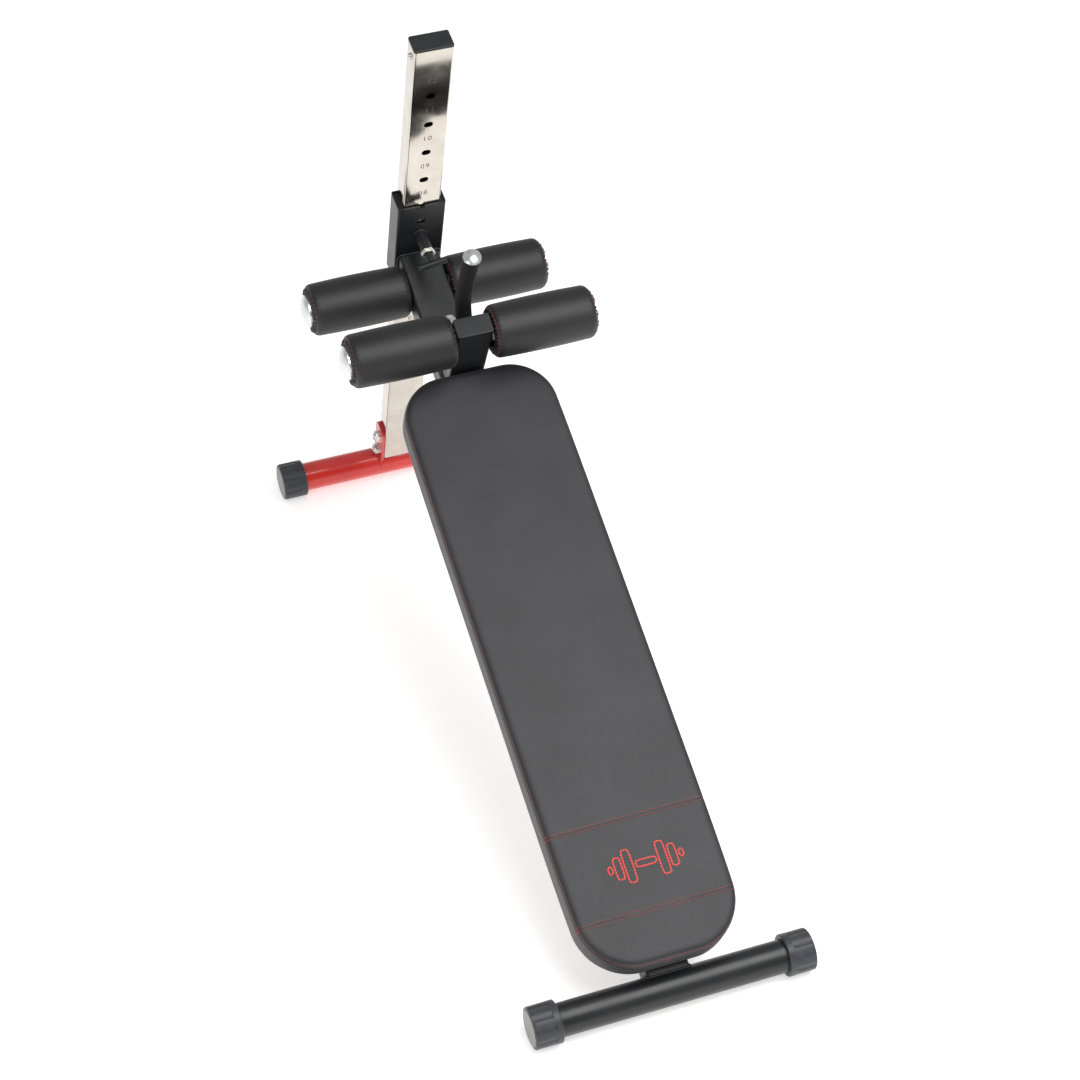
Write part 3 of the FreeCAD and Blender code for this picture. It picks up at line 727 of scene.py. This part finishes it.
rows, cols = cover_ring.shape
pad_cover = piece("pad_cover", on_board(*np.moveaxis(cover_points, -1, 0)),
                  grid_faces(rows, cols, False, False), PLAIN["black_vinyl"], "frame", "black_vinyl")
ring_flat, s_flat = cover_ring.ravel(), cover_points[..., 1].ravel()
on_top = ring_flat > SEAM_RING
pins = np.where(ring_flat <= 5, 1.0, 0.0)
pins = np.where(ring_flat == SEAM_RING, 0.9, pins)
for line in CROSS_SEAMS:
    pins = np.where(on_top & (np.abs(s_flat - line) < 1.1), 0.8, pins)
mark(pad_cover, "ring", ring_flat.astype(float))
swell(pad_cover, pins, 4.0, 4.2 * MM)
subdivide(pad_cover)
print("pad cover", len(pad_cover.data.vertices), "points")

# %% [markdown]
# ## Press the seams in
# A sewn seam pulls the vinyl down into a narrow groove. Each groove is a bell curve of depth across
# the line, moved along the surface's own normal. The cross seams are two rows 7 mm apart with the
# joint of two panels between them.

# %% Grooves of the pad's seams
def groove(made, distance, wide, deep, where=1.0):
    """Move points inwards by deep * exp(-(distance / wide)^2), in millimetres."""
    dip = deep * np.exp(-(distance / wide) ** 2) * where * MM
    moved = coords(made) - rows_of(made.data, "normal") * dip[:, None]
    made.data.vertices.foreach_set("co", moved.ravel())
    made.data.update()


def board_axes(p):
    """Board coordinates in millimetres of world points."""
    return (p - FRONT_FOOT) @ np.array([ACROSS, ALONG, SQUARE]).T / MM


local = board_axes(coords(pad_cover))
ring_now = marked(pad_cover, "ring")
groove(pad_cover, (ring_now - SEAM_RING) * 1.9, 1.7, 1.0)
upper = np.clip((ring_now - SEAM_RING + 1) / 2, 0, 1)
for line in CROSS_SEAMS:
    groove(pad_cover, local[:, 1] - line, 1.6, 0.7, upper)
    for off in SEAM_ROWS:
        groove(pad_cover, local[:, 1] - line - off, 1.2, 0.35, upper)
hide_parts("pad_cushion")
skin = BVHTree.FromPolygons([Vector(v) for v in coords(pad_cover)],
                            [tuple(p.vertices) for p in pad_cover.data.polygons])
print("cover top at", round(float(board_axes(coords(pad_cover))[:, 2].max()), 2), "mm")

# %% [markdown]
# ## Sew the seams
# A lockstitch shows as short dashes of thread, each sunk a little into the vinyl at both ends. The
# line of each seam is dropped on the finished cover, cut into even steps, and gets one dash per step.

# %% Stitches on the pad
STITCH = capsule()


def settle(tree_of, path):
    """Nearest points on a surface, with the surface's outward direction there."""
    near = [tree_of.find_nearest(Vector(p)) for p in path]
    return np.array([n[0] for n in near]), np.array([n[1] for n in near])


def sewn(name, lines, skin_of, finish, body, slot, long=3.9, pitch=4.9, thick=0.5, lift=0.1):
    """Dashes of thread along lines. Each line is (points, closed)."""
    parts = []
    for path, closed in lines:
        path, out = settle(skin_of, even(path, pitch * MM, closed))
        ahead = tangents(path, closed)
        out = unit(out - (out * ahead).sum(1, keepdims=True) * ahead)
        parts.append(swarm(*STITCH, path + out * lift * MM, ahead, out, long * MM, thick * MM))
    return piece(name, *merged(parts), finish, body, slot)


def cross_line(s):
    """A line over the top at one place along the board, by rays from inside the foam."""
    low = math.atan2(pad_n0 + 49.0 - 55.0 - 2.0, HALF_W)
    turn = np.linspace(low, math.pi - low, 240)
    start = Vector(on_board(0.0, s, 55.0))
    hits = []
    for q in turn:
        ray = Vector(math.cos(q) * ACROSS + math.sin(q) * SQUARE)
        hits.append(skin.ray_cast(start, ray)[0])
    return np.array([h for h in hits if h is not None])


seam_loop = on_board(*np.moveaxis(cover_points, -1, 0))


def ring_path(k):
    """The closed line of one ring of the sheet, from its four sides in turn."""
    i0, i1, j0, j1 = k, rows - 1 - k, k, cols - 1 - k
    g = seam_loop
    return np.concatenate([g[i0, j0:j1], g[i0:i1, j1], g[i1, j1:j0:-1], g[i1:i0:-1, j0]])


edge_seam = sewn("pad_edge_stitches", [(ring_path(SEAM_RING), True)], skin, RED_THREAD, "frame",
                 "black_vinyl")
cross_paths = [(cross_line(line + off), False) for line in CROSS_SEAMS for off in SEAM_ROWS]
cross_seams = sewn("pad_cross_stitches", cross_paths, skin, RED_THREAD, "frame", "black_vinyl",
                   thick=0.45)
print("edge and cross stitches", len(edge_seam.data.polygons) + len(cross_seams.data.polygons))

# %% [markdown]
# ## Embroidery
# A maker sews a mark on the pad's low end. Here it is a plain dumbbell: a bar and three outlined
# blocks at each side. Cutting each corner twice over (Chaikin's rule) rounds it. Each outline becomes
# a low band of satin stitch, sunk at both edges.

# %% Dumbbell in satin stitch
MARK_MID = (8.0, 206.0)
BAND_SIDES, BAND_STEP = 8, 1.2           # points round the band, and millimetres between its rings
# bar, inner plate, outer plate and stub: middle across, half width and half height, in millimetres
DUMBBELL = ((0, 19, 6), (31.5, 7.5, 30), (50.5, 6.5, 20), (65.5, 4, 7))


def chaikin(loop, times=3):
    """Round a closed line: each corner is replaced by points a quarter in from both sides."""
    for _ in range(times):
        after = np.roll(loop, -1, 0)
        loop = np.stack([loop * 0.75 + after * 0.25, loop * 0.25 + after * 0.75], 1).reshape(-1, 2)
    return loop


def dense(loop, step):
    """Extra points on the straight runs, so that rounding reaches only a few millimetres."""
    after = np.roll(loop, -1, 0)
    out = []
    for a, b in zip(loop, after):
        long = np.linalg.norm(b - a)
        reach = min(step / max(long, 1e-6), 0.5)
        out += [a + (b - a) * reach, b - (b - a) * reach] if reach < 0.5 else [(a + b) / 2]
    return np.array(out)


def plate_loop(x, wide, high):
    """The rounded outline of one piece of the dumbbell."""
    box = np.array([(-wide, -high), (wide, -high), (wide, high), (-wide, high)], float)
    return chaikin(dense(box, 3.0), 2) + (x, 0)


def satin_bands(name, loops, wide, high):
    """Closed flat bands of thread on the cover, with their length and width in a UV map."""
    parts = []
    for loop in loops:
        path = on_board(MARK_MID[0] + loop[:, 0], MARK_MID[1] + loop[:, 1], pad_n1)
        path, out = settle(skin, even(path, BAND_STEP * MM, True))
        side = unit(np.cross(out, tangents(path, True)))
        parts.append(tube(path + out * 0.1 * MM, side, out, wide * MM / 2, high * MM / 2, BAND_SIDES,
                          True))
    made = piece(name, *merged(parts), EMBROIDERY, "frame", "black_vinyl")
    run = made.data.uv_layers.new(name="run")
    at = np.empty(len(made.data.loops), int)
    made.data.loops.foreach_get("vertex_index", at)
    uv = np.stack([(at // BAND_SIDES) * BAND_STEP * MM, (at % BAND_SIDES) * wide * MM / BAND_SIDES], -1)
    run.data.foreach_set("uv", uv.ravel())
    return made


loops = [plate_loop(side * x, wide, high) for x, wide, high in DUMBBELL for side in (1, -1)][1:]
emblem = satin_bands("pad_dumbbell_embroidery", loops, 3.2, 1.1)
print("embroidery", len(emblem.data.vertices), "points")

# %% [markdown]
# ## Bar tacks and staples
# Short double rows of stitches lock the cover's joints: one pair on the band at the middle of the low
# end, and one where each cross seam runs into the band. Under the board the cover's edge is held by
# a row of wire staples.

# %% Bar tacks and staples
def band_line(x, s, n_from, n_to):
    """A straight line down the pad's side, a little outside it, to be dropped on the cover."""
    n = np.linspace(n_from, n_to, 12)
    return on_board(np.full(12, x), np.full(12, s), n)


tacks = [(band_line(x, pad_s0 - 1.0, 76.0, 58.0), False) for x in (-12.0, -5.0)]
for line in CROSS_SEAMS:
    for off in SEAM_ROWS:
        for edge in (pad_x0 + 1.0, pad_x1 - 1.0):
            tacks.append((band_line(edge, line + off, 75.0, 56.0), False))
sewn("pad_bar_tacks", tacks, skin, RED_THREAD, "frame", "black_vinyl", long=3.2, pitch=3.9, thick=0.55)


def staples():
    """Wire staples across the cover's fold, each a thin bar 10 mm long, every 45 mm round it."""
    path = even(ring_path(1), 45.0 * MM, True)
    ahead = tangents(path, True)
    down = np.repeat(-SQUARE[None], len(path), 0)
    verts, faces = swarm(*STITCH, path + down * 0.35 * MM, ahead, down, 10.0 * MM, 0.55 * MM)
    return piece("pad_staples", verts, faces, METALS["zinc"], "frame", "zinc")


print("staples", len(staples().data.polygons) // 30)

# %% [markdown]
# ## Padded rollers
# Each roller is a foam tube in a vinyl sleeve. Round end covers are sewn on just inside the rounded
# shoulder, and a drawn thread gathers them in to the axle, so they fall into small uneven pleats.
# The sleeve is a profile turned about the axle, with the pleats added as waves along the axle that
# fade out at the stitching.

# %% Shape of a roller cover
def centre_of(joint):
    """A roller's axis, as the point of its joint."""
    return np.array(JOINTS[joint]["pos_m"])


ROLLERS = [(where, side) for where in ("front", "rear") for side in ("left", "right")]
low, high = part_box("front_right_roller_foam")
INNER, OUTER = low[0] / MM, high[0] / MM
ROLL_R = (high[2] - low[2]) / MM / 2
# distance in from the roller's end and distance down from its outer radius, along the shoulder
SHOULDER = np.array([(0.4, 24.0), (0.2, 21.5), (-0.8, 19.0), (-1.9, 16.5), (-2.4, 14.0), (-2.2, 11.6),
                     (-1.0, 9.4), (1.0, 7.6), (3.1, 6.3), (3.9, 5.1), (5.2, 3.9), (7.4, 2.6),
                     (10.2, 1.7), (13.5, 1.25)])
STITCH_ROW = 8
BARREL = 1.1                 # fullness of the sleeve at its middle
AROUND = 168
INNER_BULGE = 0.8            # the inner end has only 2 mm to the stem, so it bulges less


def roller_grid():
    """Rows along the roller's skin and columns round it: place along the axle, radius and angle."""
    in_x, down = SHOULDER[:, 0], SHOULDER[:, 1]
    middle_x = np.linspace(INNER + 19.0, OUTER - 19.0, 38)
    along = np.concatenate([INNER + np.maximum(in_x, -INNER_BULGE), middle_x, (OUTER - in_x)[::-1]])
    barrel = 1.2 * (1 - BARREL * (1 - np.linspace(-1, 1, 38) ** 2))
    radius = ROLL_R - np.concatenate([down, barrel, down[::-1]])
    turn = np.linspace(0, 2 * np.pi, AROUND, endpoint=False)
    x, q = np.meshgrid(along, turn, indexing="ij")
    r = np.repeat(radius[:, None], AROUND, 1)
    # pleats: three waves of different count, strongest halfway between stitching and hole
    face = np.clip((ROLL_R - 6.8 - r) / 17.0, 0, 1)
    depth = np.sin(np.pi * np.sqrt(face)) ** 1.2
    wave = (0.55 * np.sin(31 * q + 1.9 * np.sin(3 * q)) + 0.3 * np.sin(43 * q + 1.3 * np.sin(5 * q))
            + 0.25 * np.sin(19 * q + 2.0))
    inward = np.where(x > (INNER + OUTER) / 2, -1.0, 1.0)
    x = x + inward * depth * (1.9 + 2.4 * wave)
    # faint pull lines on the sleeve next to the stitching
    near = np.exp(-((np.minimum(x - INNER, OUTER - x) - 9.0) / 7.0) ** 2) * (r > ROLL_R - 6.0)
    r = r + near * 0.22 * np.sin(37 * q + 1.5 * np.sin(4 * q))
    return x, r, q


def turned(x, r, q, centre, sign, start):
    """World points of a roller: turned by start about its axle, on the left where sign is -1."""
    return np.stack([sign * x, centre[1] / MM + r * np.cos(q + start),
                     centre[2] / MM + r * np.sin(q + start)], -1) * MM


roll_x, roll_r, roll_q = roller_grid()
roll_faces = grid_faces(*roll_x.shape, False, True)
print("roller cover grid", roll_x.shape)

# %% Swell one roller cover, then dress all four
model = piece("roller_model", turned(roll_x, roll_r, roll_q, np.zeros(3), 1, 0.0), roll_faces,
              PLAIN["black_vinyl"], None, None)
row_number = np.repeat(np.arange(roll_x.shape[0]), AROUND)
rows_in = np.minimum(row_number, roll_x.shape[0] - 1 - row_number)
swell(model, np.where(rows_in == 0, 1.0, np.where(rows_in == STITCH_ROW, 0.9, 0.0)), 3.0, 1.2 * MM)
mark(model, "row", rows_in.astype(float))
subdivide(model)
groove(model, (marked(model, "row") - STITCH_ROW) * 1.5, 1.3, 0.9)
model_points = coords(model)
model_faces = [tuple(p.vertices) for p in model.data.polygons]
bpy.data.objects.remove(model)


def dress_roller(where, side, start):
    """A roller's cover and its two rings of stitches, turned by start so no two look the same."""
    body = f"{where}_{side}_roller"
    centre = centre_of(body + "_spin")
    sign = 1 if side == "right" else -1
    c, s = math.cos(start), math.sin(start)
    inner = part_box(f"{where}_right_roller_foam")[0][0]
    longer = (inner - INNER * MM) * (OUTER * MM - model_points[:, :1]) / ((OUTER - INNER) * MM)
    p = model_points + longer * ACROSS
    p = p @ np.array([[sign, 0, 0], [0, c, s], [0, -s, c]]) + [0, centre[1], centre[2]]
    cover = piece(body + "_cover", p, model_faces, ROLLER_VINYL, body, "black_vinyl")
    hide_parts(body + "_foam")
    tree = BVHTree.FromPolygons([Vector(v) for v in p], model_faces)
    q = np.linspace(0, 2 * np.pi, 200, endpoint=False)
    in_x, down = SHOULDER[STITCH_ROW]
    rings = [(turned(np.full(200, x), np.full(200, ROLL_R - down), q, centre, sign, 0.0), True)
             for x in (inner / MM + in_x, OUTER - in_x)]
    sewn(body + "_stitches", rings, tree, RED_THREAD, body, "black_vinyl", long=3.6, pitch=4.7,
         thick=0.46, lift=0.15)
    return cover


for k, (where, side) in enumerate(ROLLERS):
    dress_roller(where, side, 0.9 + 1.7 * k)
print("rollers", len(model_points), "points each")

# %% [markdown]
# ## Welds
# The frame is MIG welded, then coated, so each joint has a rippled bead under the paint: a run of
# overlapping puddles about 2.6 mm apart. The bead is a tube whose radius swells and shrinks along
# its path, half sunk in the corner that it fills.

# %% Weld beads
PUDDLE, BEAD_STEP = 2.6, 0.65            # millimetres between puddles, and between a bead's rings


def bead(name, path, out, finish, slot, body="frame", radius=2.6, closed=False):
    """A weld along a path. Its radius is radius * (0.9 + 0.16 * |sin|), one puddle each 2.6 mm."""
    count = len(path)
    path = even(path, BEAD_STEP * MM, closed)
    ahead = tangents(path, closed)
    at = np.linspace(0, count - 1, len(path))
    out = np.broadcast_to(out, (count, 3))
    out = np.stack([np.interp(at, np.arange(count), out[:, k]) for k in range(3)], -1)
    over = unit(out - (out * ahead).sum(1, keepdims=True) * ahead)
    run = np.arange(len(path)) * BEAD_STEP
    puddle = 0.9 + 0.16 * np.abs(np.sin(run * np.pi / PUDDLE)) + 0.03 * np.sin(run * 0.37)
    verts, faces = tube(path, np.cross(over, ahead), over, radius * MM * puddle, None, 8, closed)
    return piece(name, verts, faces, finish, body, slot)


def rounded_loop(wide, deep, r, steps=8):
    """A rounded rectangle about the origin, as rows (a, b)."""
    q = np.linspace(0, np.pi / 2, steps)
    corner = np.stack([np.cos(q), np.sin(q)], -1) * r
    out = []
    for k, (sx, sy) in enumerate(((1, 1), (-1, 1), (-1, -1), (1, -1))):
        turn = np.array([[math.cos(k * np.pi / 2), math.sin(k * np.pi / 2)],
                         [-math.sin(k * np.pi / 2), math.cos(k * np.pi / 2)]])
        out.append(corner @ turn + (sx * (wide / 2 - r), sy * (deep / 2 - r)))
    return np.concatenate(out)


def tube_radius(node):
    """Radius of a level tube in millimetres, from its height."""
    low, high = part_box(node)
    return (high[2] - low[2]) / MM / 2


def welds():
    """Beads at the stem's foot, the sleeve's face, the low foot bar, the handle and the pin housing."""
    made = []
    black = (METALS["black_powder_coat"], "black_powder_coat")
    low, high = board_span("roller_stem")
    loop = rounded_loop(high[0] - low[0] + 1.0, high[1] - low[1] + 1.0, 5.5)
    mid = (low[1] + high[1]) / 2
    path = on_board(loop[:, 0], mid + loop[:, 1], low[2] + 0.8)
    made.append(bead("stem_weld", path, SQUARE[None], *black, closed=True))
    # round the spine's end, on the sleeve's front face
    low, high = board_span("spine_beam")
    spine_half, spine_top, spine_low = high[0], high[2], low[2]
    face = post_span("post_sleeve")[0][1]
    loop = rounded_loop(2 * spine_half + 1.0, spine_top - spine_low + 1.0, 6.5)
    n = (spine_top + spine_low) / 2 + loop[:, 1]
    at = on_board(loop[:, 0], 0.0, n)
    reach = (face - 0.6 - ((at - REAR_FOOT) @ INTO_POST) / MM) / (ALONG @ INTO_POST)
    path = on_board(loop[:, 0], reach, n)
    made.append(bead("sleeve_weld", path, -INTO_POST[None], *black, closed=True, radius=3.0))
    # over the low foot bar: across the spine's top, then round the bar on both sides
    r = tube_radius("front_foot_tube")
    top = math.asin(spine_top / r)
    q = np.linspace(top, -0.9, 24)
    side = np.stack([np.full(24, spine_half + 0.4), r * np.cos(q) + 0.6, r * np.sin(q)], -1)
    line = np.linspace(-spine_half + 5, spine_half - 5, 20)
    across = np.stack([line, np.full(20, r * math.cos(top) + 0.8), np.full(20, spine_top + 0.6)], -1)
    path = np.concatenate([(side * (-1, 1, 1))[::-1], across, side])
    path = on_board(*path.T)
    out = unit(path - (FRONT_FOOT + (path - FRONT_FOOT) @ ACROSS[:, None] * ACROSS))
    made.append(bead("foot_weld", path, out, *black))
    # pin housing on the sleeve
    low, high = post_span("pin_housing")
    q = np.linspace(0, 2 * np.pi, 60, endpoint=False)
    r = (high[0] - low[0]) / 2 + 0.8
    mid = (low[2] + high[2]) / 2
    path = on_post(r * np.cos(q), np.full(60, high[1] - 0.6), mid + r * np.sin(q))
    made.append(bead("housing_weld", path, -INTO_POST[None], *black, closed=True, radius=2.0))
    # handle on the stem's back
    low, high = board_span("handle_tube")
    stem_back = board_span("roller_stem")[1][1]
    local = board_axes(points("handle_tube"))
    foot = local[local[:, 1] < stem_back + 0.6]
    mid = (foot.min(0) + foot.max(0)) / 2
    half = (foot.max(0) - foot.min(0)) / 2
    path = on_board(mid[0] + (half[0] + 0.6) * np.cos(q), np.full(60, stem_back + 0.6),
                    mid[2] + (half[2] + 0.6) * np.sin(q))
    made.append(bead("handle_weld", path, ALONG[None], *black, closed=True, radius=2.0))
    # the red bracket's flanges on the rear foot bar
    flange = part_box("post_bracket")[1][0] / MM
    r = tube_radius("rear_foot_tube")
    q = np.linspace(0.35, math.pi - 0.35, 40)
    for sign in (-1, 1):
        path = on_post(np.full(40, sign * (flange + 0.4)), (r + 0.6) * np.cos(q), (r + 0.6) * np.sin(q))
        made.append(bead(f"bracket_weld_{'left' if sign < 0 else 'right'}", path,
                         unit(path - REAR_FOOT) + ACROSS * sign, METALS["red_paint"], "red_paint",
                         body="post", radius=2.2))
    return made


print("welds", [w.name for w in welds()])

# %% [markdown]
# ## Position numbers
# Halfway above each hole is a two-figure number, etched so that a setting can be found again.
# The figures are text turned into a mesh, then laid a hair above the post's front face.

# %% Etched numbers
HOLE_PITCH = 75.0
HOLES = range(1, 13)
REST_HOLE = 7
FIGURE_SIZE = 16.0           # height of the text, before its font's own margins
# the figures' half thickness and middle above the face, within the bush's 0.05 mm clearance
FIGURE_HALF, FIGURE_LIFT = 0.01, 0.015
low, high = post_span("pull_pin_plunger")
PIN_HEIGHT = (low[2] + high[2]) / 2
POST_FACE = post_span("post_tube")[0][1]


def etched_numbers():
    """Two-figure numbers halfway between the holes, as one mesh on the post's front face."""
    parts = []
    for hole in HOLES:
        words = bpy.data.curves.new("figures", "FONT")
        words.body = f"{hole:02d}"
        words.size, words.align_x, words.align_y = FIGURE_SIZE, "CENTER", "CENTER"
        words.extrude = FIGURE_HALF
        words.space_character = 1.25
        holder = bpy.data.objects.new("figures", words)
        mesh = bpy.data.meshes.new_from_object(holder)
        p = rows_of(mesh)
        h = PIN_HEIGHT + (hole - REST_HOLE + 0.5) * HOLE_PITCH
        parts.append((on_post(p[:, 0], POST_FACE - FIGURE_LIFT - p[:, 2], h + p[:, 1]),
                      [tuple(f.vertices) for f in mesh.polygons]))
        bpy.data.objects.remove(holder)
        bpy.data.curves.remove(words)
        bpy.data.meshes.remove(mesh)
    return piece("post_numbers", *merged(parts), ETCHED, "post", "chrome")


print("numbers", len(etched_numbers().data.polygons), "faces")

# %% [markdown]
# ## Floor and light
# A pale studio sweep: a wide white floor that glows a little, as a sweep lit from behind does, a
# large soft box overhead and a broad fill from the front, in an even white room. Soft boxes close to
# the size of the bench give wide, soft highlights on vinyl and let the chrome reflect the room.

# %% Floor, lights and room
def studio():
    """A white floor, a white room and two soft boxes."""
    size = 14.0
    edge = np.array([(-size, -size, 0), (size, -size, 0), (size, size, 0), (-size, size, 0)], float)
    made, tree, shader, place = start_finish("matt_white_sweep", Roughness=0.9, IOR=1.45)
    cloud = speckle(tree, place, 600.0, 2.0)
    tree.links.new(two_tone(tree, cloud, "#f4f3f1", "#f7f6f5"), shader.inputs["Base Color"])
    shader.inputs["Emission Color"].default_value = (1.0, 1.0, 1.0, 1.0)
    shader.inputs["Emission Strength"].default_value = 0.5
    floor = piece("studio_floor", edge, [[0, 1, 2, 3]], made, None, None)
    room = bpy.data.worlds.new("white_room")
    room.use_nodes = True
    room.node_tree.nodes["Background"].inputs["Color"].default_value = linear("#fbfbfc")
    room.node_tree.nodes["Background"].inputs["Strength"].default_value = 0.5
    bpy.context.scene.world = room
    middle_of = Vector((0.0, 0.0, 0.5))
    for name, spot, wide, power in (("top_soft_box", (0.9, -1.5, 3.5), 2.5, 105.0),
                                    ("front_fill", (-3.6, -2.8, 2.6), 2.4, 28.0)):
        lamp = bpy.data.lights.new(name, "AREA")
        lamp.shape, lamp.size, lamp.energy = "SQUARE", wide, power
        held = bpy.data.objects.new(name, lamp)
        bpy.context.scene.collection.objects.link(held)
        aim = (middle_of - Vector(spot)).to_track_quat("-Z", "Y")
        held.matrix_world = Matrix.Translation(spot) @ aim.to_matrix().to_4x4()
    view = bpy.context.scene.view_settings
    view.view_transform, view.look = "Standard", "None"
    return floor


print("stage", studio().name)
